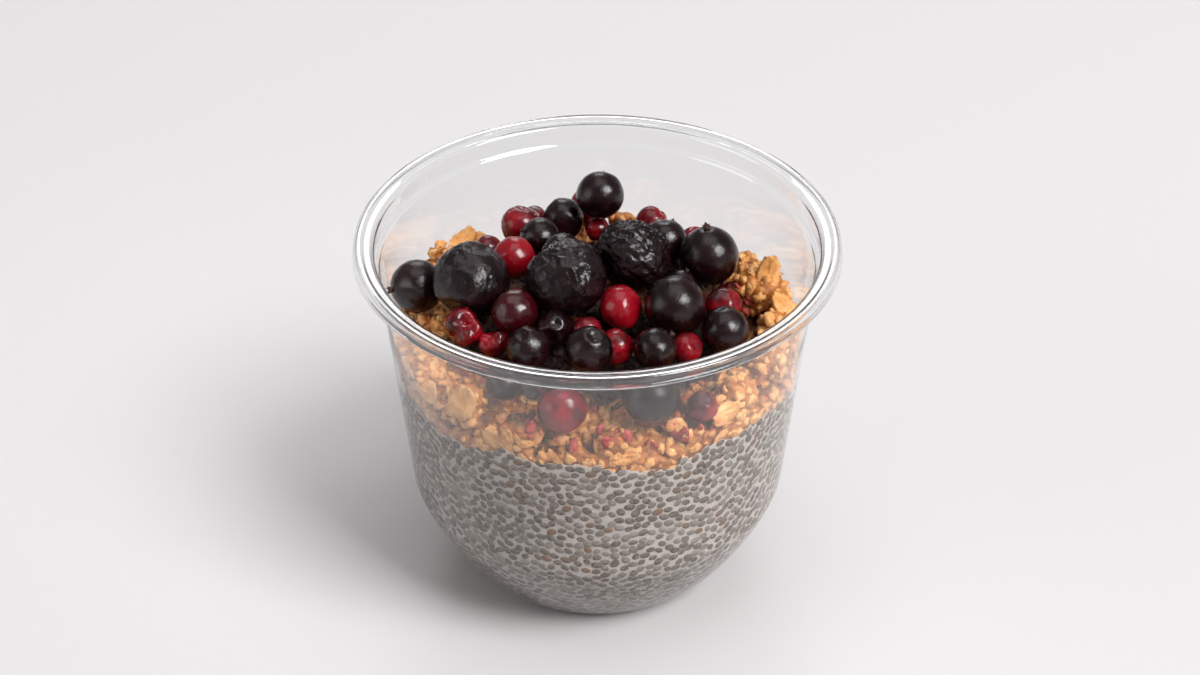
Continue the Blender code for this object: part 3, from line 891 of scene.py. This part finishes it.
def granolaCore(laid):
    draw = random.Random(11)
    shares = (1.0, 0.95, 0.88, 0.8, 0.7, 0.6, 0.5, 0.4, 0.25, 0.1, 0.0)
    profile = [(0, granola["bottom"]), (granola["coreEdge"], granola["bottom"])]
    profile += [(granola["coreEdge"] * share, granola["top"]) for share in shares]
    dome = turnProfile("core", profile, 96)
    for v in dome.vertices:
        if v.co.z > 55 * mm:
            v.co.z = (heapHeight(v.co.x / mm, v.co.y / mm) - granola["sink"]) * mm
    bm = bmesh.new()
    bm.from_mesh(dome)

    def heap(x, y, radius, lift, crust, low):
        centre = Vector((x, y, heapHeight(x, y) + lift * radius))
        fitted = clearOf(centre, radius, laid) - crust
        if fitted > granola["leastClump"]:
            addLump(bm, centre, (fitted, fitted * 0.9, fitted * low), draw)

    for x, y, radius, lift in granola["clusters"]:
        heap(x, y, radius, lift, granola["crust"], 0.9)
    for step in range(granola["wallClumps"]):
        turn = math.tau * (step + draw.uniform(-0.3, 0.3)) / granola["wallClumps"]
        x, y = spoke(draw.uniform(*granola["wallReach"]), turn)
        lift = -0.8 if y > granola["backFromY"] else -0.2
        heap(x, y, draw.uniform(*granola["wallSizes"]), lift, granola["crust"], 0.8)
    for step in range(granola["topClumps"]):
        turn = draw.uniform(0, math.tau)
        x, y = spoke(granola["topReach"] * math.sqrt(draw.random()), turn)
        lift = -0.9 if y > granola["backFromY"] else -0.5
        heap(x, y, draw.uniform(*granola["topSizes"]), lift, granola["crust"] * 0.5, 0.8)
    # small bits sit on the milk's edge
    for step in range(granola["footBits"]):
        turn = math.tau * (step + draw.uniform(-0.4, 0.4)) / granola["footBits"]
        radius = draw.uniform(*granola["footSizes"])
        low = edgeHeight(math.degrees(turn)) + draw.uniform(0.0, 1.2)
        reach = wallRadius(low) - cup["sheet"] - radius * 0.7
        addLump(bm, Vector((*spoke(reach, turn), low)), (radius, radius, radius), draw)
    mesh = closeMesh("granolaCore", bm)
    core = addPiece("granolaCore", mesh)
    weld = core.modifiers.new("weld", "REMESH")
    weld.mode = "VOXEL"
    weld.voxel_size = granola["voxel"] * mm
    graph = bpy.context.evaluated_depsgraph_get()
    fused = bpy.data.meshes.new_from_object(core.evaluated_get(graph), depsgraph=graph)
    core.modifiers.clear()
    core.data = fused
    outward = [v.normal.copy() for v in fused.vertices]
    for v, normal in zip(fused.vertices, outward):
        p = v.co / mm
        bead = noise.voronoi(p / granola["grain"])[0][0]
        push = 0.45 - bead + noise.noise(p / 0.9) * 0.2
        v.co = keepInside(p + normal * granola["relief"] * push, granola["coreGap"]) * mm
    fused.update()
    paintHollowShade(fused)
    print("granola core:", len(fused.polygons), "faces")
    return core


def paintHollowShade(mesh):
    # painted shade: gaps between clumps come out dark, by how far each spot lies under the evened heap
    spots = readPoints(mesh)
    count = len(spots)
    ends = np.empty(len(mesh.edges) * 2, dtype=np.int32)
    mesh.edges.foreach_get("vertices", ends)
    here = np.concatenate((ends[0::2], ends[1::2]))
    there = np.concatenate((ends[1::2], ends[0::2]))
    links = np.bincount(here, minlength=count)
    even = spots.astype(float)
    for _ in range(granola["smoothing"]):
        even = np.stack([np.bincount(here, even[there, axis], count) / links for axis in range(3)], axis=1)
    under = ((even - spots) * readPoints(mesh, "normal")).sum(axis=1)
    paint(mesh, "hollowShade", np.clip(under / (granola["hollowShadeDeep"] * mm), 0, 1))


def crumbShape(number):
    draw = random.Random(number)
    shift = Vector(draw.uniform(-9, 9) for _ in range(3))
    bm = bmesh.new()
    bmesh.ops.create_uvsphere(bm, u_segments=6, v_segments=5, radius=1.0)
    for v in bm.verts:
        v.co *= 1 + 0.85 * noise.noise(v.co * 1.6 + shift)
        v.co.x *= draw.uniform(0.75, 1.1)
    bmesh.ops.scale(bm, vec=(mm, mm * 0.8, mm * 0.7), verts=bm.verts)
    return closeMesh(f"crumbShape{number}", bm)


def flakeShape(number, sides=10, shares=(0.55, 1.0), groove=0.08):
    # rolled oat: an oval, cupped, with a crease along it and a ragged edge
    draw = random.Random(40 + number)
    bend = draw.uniform(0.15, 0.4)
    bm = bmesh.new()

    def put(share, turn, side):
        edge = 1 + (0.14 * draw.uniform(-1, 1) if share == 1 else 0)
        x = share * math.cos(turn) * edge
        y = share * math.sin(turn) * 0.66 * edge
        crease = -0.08 * math.exp(-(y / 0.12) ** 2) * (1 - x * x)
        crease -= groove * abs(math.sin(y * 9 + x * 1.5)) * (1 - share * share)
        z = bend * x * x - 0.25 * y * y + (crease if side > 0 else 0)
        thick = 0.11 * (1 - share ** 4) + 0.05
        return bm.verts.new(Vector((x, y, z + side * thick)) * mm)

    edges = []
    for side in (1, -1):
        middle = put(0, 0, side)
        rings = [[put(share, math.tau * k / sides, side) for k in range(sides)] for share in shares]
        for k in range(sides):
            n = (k + 1) % sides
            bm.faces.new((middle, rings[0][k], rings[0][n]))
            for inner, outer in zip(rings, rings[1:]):
                bm.faces.new((inner[k], outer[k], outer[n], inner[n]))
        edges.append(rings[-1])
    for k in range(sides):
        n = (k + 1) % sides
        bm.faces.new((edges[0][k], edges[1][k], edges[1][n], edges[0][n]))
    return closeMesh(f"flakeShape{number}", bm)


# whole flakes that the photo shows: middle x, y, z, half length, way it faces, turn about that way
wholeFlakes = [
    (-25.5, -31.2, 58.6, 4.3, (-0.5, -0.8, 0.4), 70), (-32.0, -24.0, 56.4, 3.4, (-0.7, -0.6, 0.3), 20),
    (-18.5, -35.4, 53.6, 3.6, (-0.4, -0.9, 0.3), 150), (-12.5, -37.0, 55.8, 3.0, (-0.2, -0.9, 0.5), 40),
    (33.5, 0.5, 67.2, 3.6, (0.2, -0.9, 0.3), 85), (36.0, -4.5, 63.4, 3.0, (0.5, -0.6, 0.6), 130),
    (24.0, -32.2, 57.4, 3.2, (0.4, -0.8, 0.4), 20), (5.0, -39.0, 52.6, 2.8, (0.1, -0.9, 0.4), 10),
    (-27.5, 24.5, 59.6, 3.0, (-0.2, -0.4, 0.8), 60), (-35.0, 8.0, 59.4, 3.4, (-0.3, -0.3, 0.9), 110),
]


def addWholeFlakes(finish, laid):
    sheet = bmesh.new()
    for number, (x, y, z, size, facing, roll) in enumerate(wholeFlakes):
        shape = flakeShape(number, 26, (0.2, 0.4, 0.6, 0.8, 0.93, 1.0), 0.17)
        turn = Vector(facing).to_track_quat("Z", "Y").to_matrix().to_4x4()
        spin = Matrix.Rotation(math.radians(roll), 4, "Z")
        shape.transform(Matrix.Translation(Vector((x, y, z)) * mm) @ turn @ spin @ Matrix.Scale(size, 4))
        pressInside(shape)
        sheet.from_mesh(shape)
        bpy.data.meshes.remove(shape)
    piece = addPiece("wholeOatFlakes", closeMesh("wholeOatFlakes", sheet), finish)
    paint(piece.data, "tone", [0.55] * len(piece.data.vertices))
    stainWithJuiceAndShade(piece, laid)
    carry(piece, "granola")


def scatterTree():
    tree, given = startTree("scatterGranola", {
        "Shapes": "Collection", "Spacing": "Float", "Smallest": "Float", "Largest": "Float", "Lie": "Float",
        "Berries": "Object", "Clear": "Float", "Crumple": "Float", "Seed": "Int", "Finish": "Material"})
    spots = addNode(tree, "GeometryNodeDistributePointsOnFaces",
            {"Mesh": given["Ground"], "Distance Min": given["Spacing"], "Density Max": 4e6,
            "Seed": given["Seed"]}, distribute_method="POISSON")
    berries = addNode(tree, "GeometryNodeObjectInfo", {0: given["Berries"]})
    gap = addNode(tree, "GeometryNodeProximity", {0: berries.outputs["Geometry"]}, target_element="FACES")
    free = addNode(tree, "FunctionNodeCompare", {0: gap.outputs["Distance"], 1: given["Clear"]},
            data_type="FLOAT", operation="GREATER_THAN")
    shapes = addNode(tree, "GeometryNodeCollectionInfo", {0: given["Shapes"], 1: True, 2: True})
    spin = addNode(tree, "FunctionNodeRandomValue", {0: (0, 0, 0), 1: (6.283, 6.283, 6.283), 8: 5},
            data_type="FLOAT_VECTOR")
    loose = addNode(tree, "FunctionNodeEulerToRotation", {0: spin})
    lying = addNode(tree, "FunctionNodeAlignRotationToVector",
            {"Rotation": loose, "Factor": given["Lie"], "Vector": spots.outputs["Normal"]}, axis="Z")
    which = addNode(tree, "FunctionNodeRandomValue", {4: 0, 5: 9, 8: 7}, data_type="INT")
    real = plantShapes(tree, given, 6, 9, Points=spots, Selection=free, Instance=shapes, Rotation=lying,
                       **{"Pick Instance": True, "Instance Index": which})
    # no two alike: a crumpling noise moves every point
    here = addNode(tree, "GeometryNodeInputPosition")
    crumple = addNode(tree, "TexNoise", {"Vector": here, "Scale": perMetre(1.4), "Detail": 1})
    middle = addNode(tree, "VectorMath", {0: crumple.outputs[1], 1: (0.5, 0.5, 0.5)}, operation="SUBTRACT")
    push = addNode(tree, "VectorMath", {0: middle, "Scale": given["Crumple"]}, operation="SCALE")
    rough = addNode(tree, "GeometryNodeSetPosition", {"Geometry": real, "Offset": push})
    return endTree(tree, rough, given["Finish"])


def granolaMaterial(name, pale, gold, brown, toneShift):
    # oats baked in syrup: golden to brown, chalky where broken, a slight glaze, red where juice ran; dark
    # where juice pools among the berries, partly painted shade, and painted shade in the hollows between
    # clumps
    mat, tree, shader, where = startMaterial(name)
    tone = addNode(tree, "Attribute", attribute_name="tone")
    grain = addNode(tree, "TexNoise", {"Vector": where, "Scale": perMetre(1.6), "Detail": 5,
            "Roughness": 0.6})
    clump = addNode(tree, "TexNoise", {"Vector": where, "Scale": perMetre(6.0), "Detail": 2})
    mixed = addNode(tree, "Math", {0: tone.outputs["Fac"], 1: 0.30, 2: toneShift - 0.10},
            operation="MULTIPLY_ADD")
    patch = addNode(tree, "Math", {0: clump, 1: 0.45, 2: mixed}, operation="MULTIPLY_ADD")
    total = addNode(tree, "Math", {0: patch, 1: grain}, operation="ADD")
    dark = addNode(tree, "MapRange", {0: total, 1: 0.30, 2: 0.68, 3: 1.0, 4: 0.0})
    light = addNode(tree, "MapRange", {0: total, 1: 0.68, 2: 1.05})
    warm = addNode(tree, "Mix", {0: dark, 6: gold, 7: brown})
    bright = addNode(tree, "Mix", {0: light, 6: warm, 7: pale})
    juiceAndShade = addNode(tree, "Attribute", attribute_name="juiceAndShade")
    soak = addNode(tree, "TexNoise", {"Vector": where, "Scale": perMetre(4.0), "Detail": 2})
    wet = addNode(tree, "MapRange", {0: soak, 1: 0.45, 2: 0.60})
    stain = addNode(tree, "Math", {0: juiceAndShade.outputs["Fac"], 1: wet}, operation="MULTIPLY")
    pink = addNode(tree, "Mix", {0: stain, 6: bright, 7: "#C03A3C"})
    # past the reddening the granola goes dark towards #160509: pooled juice and painted shade among the
    # berries
    shadeUnderBerries = addNode(tree, "MapRange", {0: juiceAndShade.outputs["Fac"], 1: granola["reddens"], 2: 0.78, 3: 0.0,
            4: 0.97})
    final = addNode(tree, "Mix", {0: shadeUnderBerries, 6: pink, 7: "#160509"})
    # painted shade: hollows between clumps darken towards #341707
    hollowShade = addNode(tree, "Attribute", attribute_name="hollowShade")
    deep = addNode(tree, "MapRange", {0: hollowShade.outputs["Fac"], 1: 0.10, 2: 0.80, 3: 0.0, 4: 0.88})
    shaded = addNode(tree, "Mix", {0: deep, 6: final, 7: "#341707"})
    rough = addNode(tree, "MapRange", {0: grain, 1: 0.3, 2: 0.7, 3: 0.65, 4: 0.42})
    pores = addNode(tree, "TexNoise", {"Vector": where, "Scale": perMetre(0.45), "Detail": 4})
    bump = addNode(tree, "Bump", {"Height": pores, "Strength": 0.7, "Distance": 0.0003})
    feed(shader, {"Base Color": shaded, "Roughness": rough, "Normal": bump})
    return mat


def stainWithJuiceAndShade(piece, laid):
    # juice reddens granola by a berry; where berries crowd the middle it goes dark, partly pooled juice and
    # partly painted shade
    spots = readPoints(piece.data)
    closest = np.zeros(len(spots), dtype=np.float32)
    crowd = np.zeros(len(spots), dtype=np.float32)
    for place, radius in laid:
        away = spots - np.array(place, dtype=np.float32)
        gap = np.linalg.norm(away, axis=1) - radius
        beside = np.maximum(np.hypot(away[:, 0], away[:, 1]) - radius, 0)
        closest = np.maximum(closest, np.clip(1 - gap / (granola["soaked"] * mm), 0, 1))
        crowd += np.clip(1 - beside / (granola["soaked"] * mm), 0, 1) * (gap < 10 * mm)
    middle = np.clip((granola["shadePool"] * mm - np.hypot(spots[:, 0], spots[:, 1])) / (3 * mm), 0, 1)
    pooledShade = np.clip(crowd / granola["crowd"], 0, 1) * middle
    # under the berries at the front wall it goes dark too: juice that has run down, and painted shade under
    # the berries
    x, y, z = spots.T / mm
    run = np.clip((z - granola["frontShadeFrom"]) / 3, 0, 1) * (y < -20)
    run *= np.clip((granola["frontShadeWide"] - abs(x)) / 6, 0, 1)
    paint(piece.data, "juiceAndShade", np.maximum(np.maximum(closest * granola["reddens"], pooledShade), run * 0.75))


def addFruitBits(core, laid):
    # red bits where the photo shows them: centre x, y, z, spread, count
    groups = [(4, -38, 57, 8, 12), (12, -37, 56, 7, 9), (-6, -36, 60, 5, 6), (17, -36, 58, 6, 6),
              (30, 0, 61, 4, 10), (26, 5, 62, 3, 7), (-10, -38, 55, 5, 4), (34, -12, 58, 3, 3)]
    draw = random.Random(5)
    bm = bmesh.new()
    bm.from_mesh(core.data)
    ground = BVHTree.FromBMesh(bm)
    bm.free()
    bits = bmesh.new()
    for x, y, z, spread, count in groups:
        for _ in range(count):
            guess = Vector((x, y, z)) + Vector(draw.gauss(0, spread * 0.5) for _ in range(3))
            place, normal, _, _ = ground.find_nearest(guess * mm)
            place = place + normal * 0.7 * mm
            if any((place - c).length < r + 0.6 * mm for c, r in laid):
                continue
            shape = crumbShape(draw.randrange(6))
            size = draw.uniform(0.3, 1.7)
            turn = Euler([draw.uniform(0, 6.28) for _ in range(3)]).to_matrix().to_4x4()
            flat = Matrix.Diagonal((size, size * 0.8, size * 0.45, 1))
            shape.transform(Matrix.Translation(place) @ turn @ flat)
            bits.from_mesh(shape)
            bpy.data.meshes.remove(shape)
    # freeze-dried fruit: matt pink red, crumbly
    crumbly = dryMaterial("freezeDriedFruit", 0.9, 4, "#8A1A20", "#C65A4C", 0.6, 0.3)
    piece = addPiece("driedFruitBits", closeMesh("driedFruitBits", bits), crumbly)
    carry(piece, "granola")


def makeGranola(laid):
    core = granolaCore(laid)
    blocks = bmesh.new()
    for place, radius in laid:
        bmesh.ops.create_icosphere(blocks, subdivisions=3, radius=radius, matrix=Matrix.Translation(place))
    berries = addPiece("berryGuide", closeMesh("berryGuide", blocks))
    shelves = {}
    for kind, build in (("crumb", crumbShape), ("flake", flakeShape)):
        shelf = bpy.data.collections.new(kind)
        bpy.context.scene.collection.children.link(shelf)
        for number in range(6):
            shelf.objects.link(bpy.data.objects.new(f"{kind}{number}", build(number)))
        shelves[kind] = shelf
    toasted = granolaMaterial("syrupBakedOats", "#EEBC7C", "#D6934F", "#7E4420", -0.04)
    # the core gets a darker copy of the oat colours: painted shade for what lies under and between the
    # crumbs
    inner = granolaMaterial("granolaCorePaintedShade", "#DC9A4A", "#B26C2C", "#4A220C", 0.04)
    tree = scatterTree()
    for name, kind in scatterKinds.items():
        piece = growFrom(core, tree, name, Shapes=shelves[kind["shapes"]], Spacing=kind["spacing"] * mm,
                         Smallest=kind["smallest"], Largest=kind["largest"], Lie=kind["lie"],
                         Berries=berries, Clear=kind["clear"] * mm, Seed=kind["seed"],
                         Crumple=kind["crumple"] * 2 * mm, Finish=toasted)
        pressInside(piece.data)
        stainWithJuiceAndShade(piece, laid)
        carry(piece, "granola")
        print(name + ":", len(piece.data.polygons), "faces")
    addWholeFlakes(toasted, laid)
    addFruitBits(core, laid)
    stainWithJuiceAndShade(core, laid)
    core.data.materials.append(inner)
    core.data.shade_smooth()
    carry(core, "granola", "granola")
    bpy.data.objects.remove(berries)
    for shelf in shelves.values():
        for shape in list(shelf.objects):
            bpy.data.objects.remove(shape)
        bpy.data.collections.remove(shelf)


bpy.context.scene.view_settings.view_transform = "Standard"
setCamera()
setLights()
layFloor()
makeCup()
makePudding()
makeGranola(makeBerries())
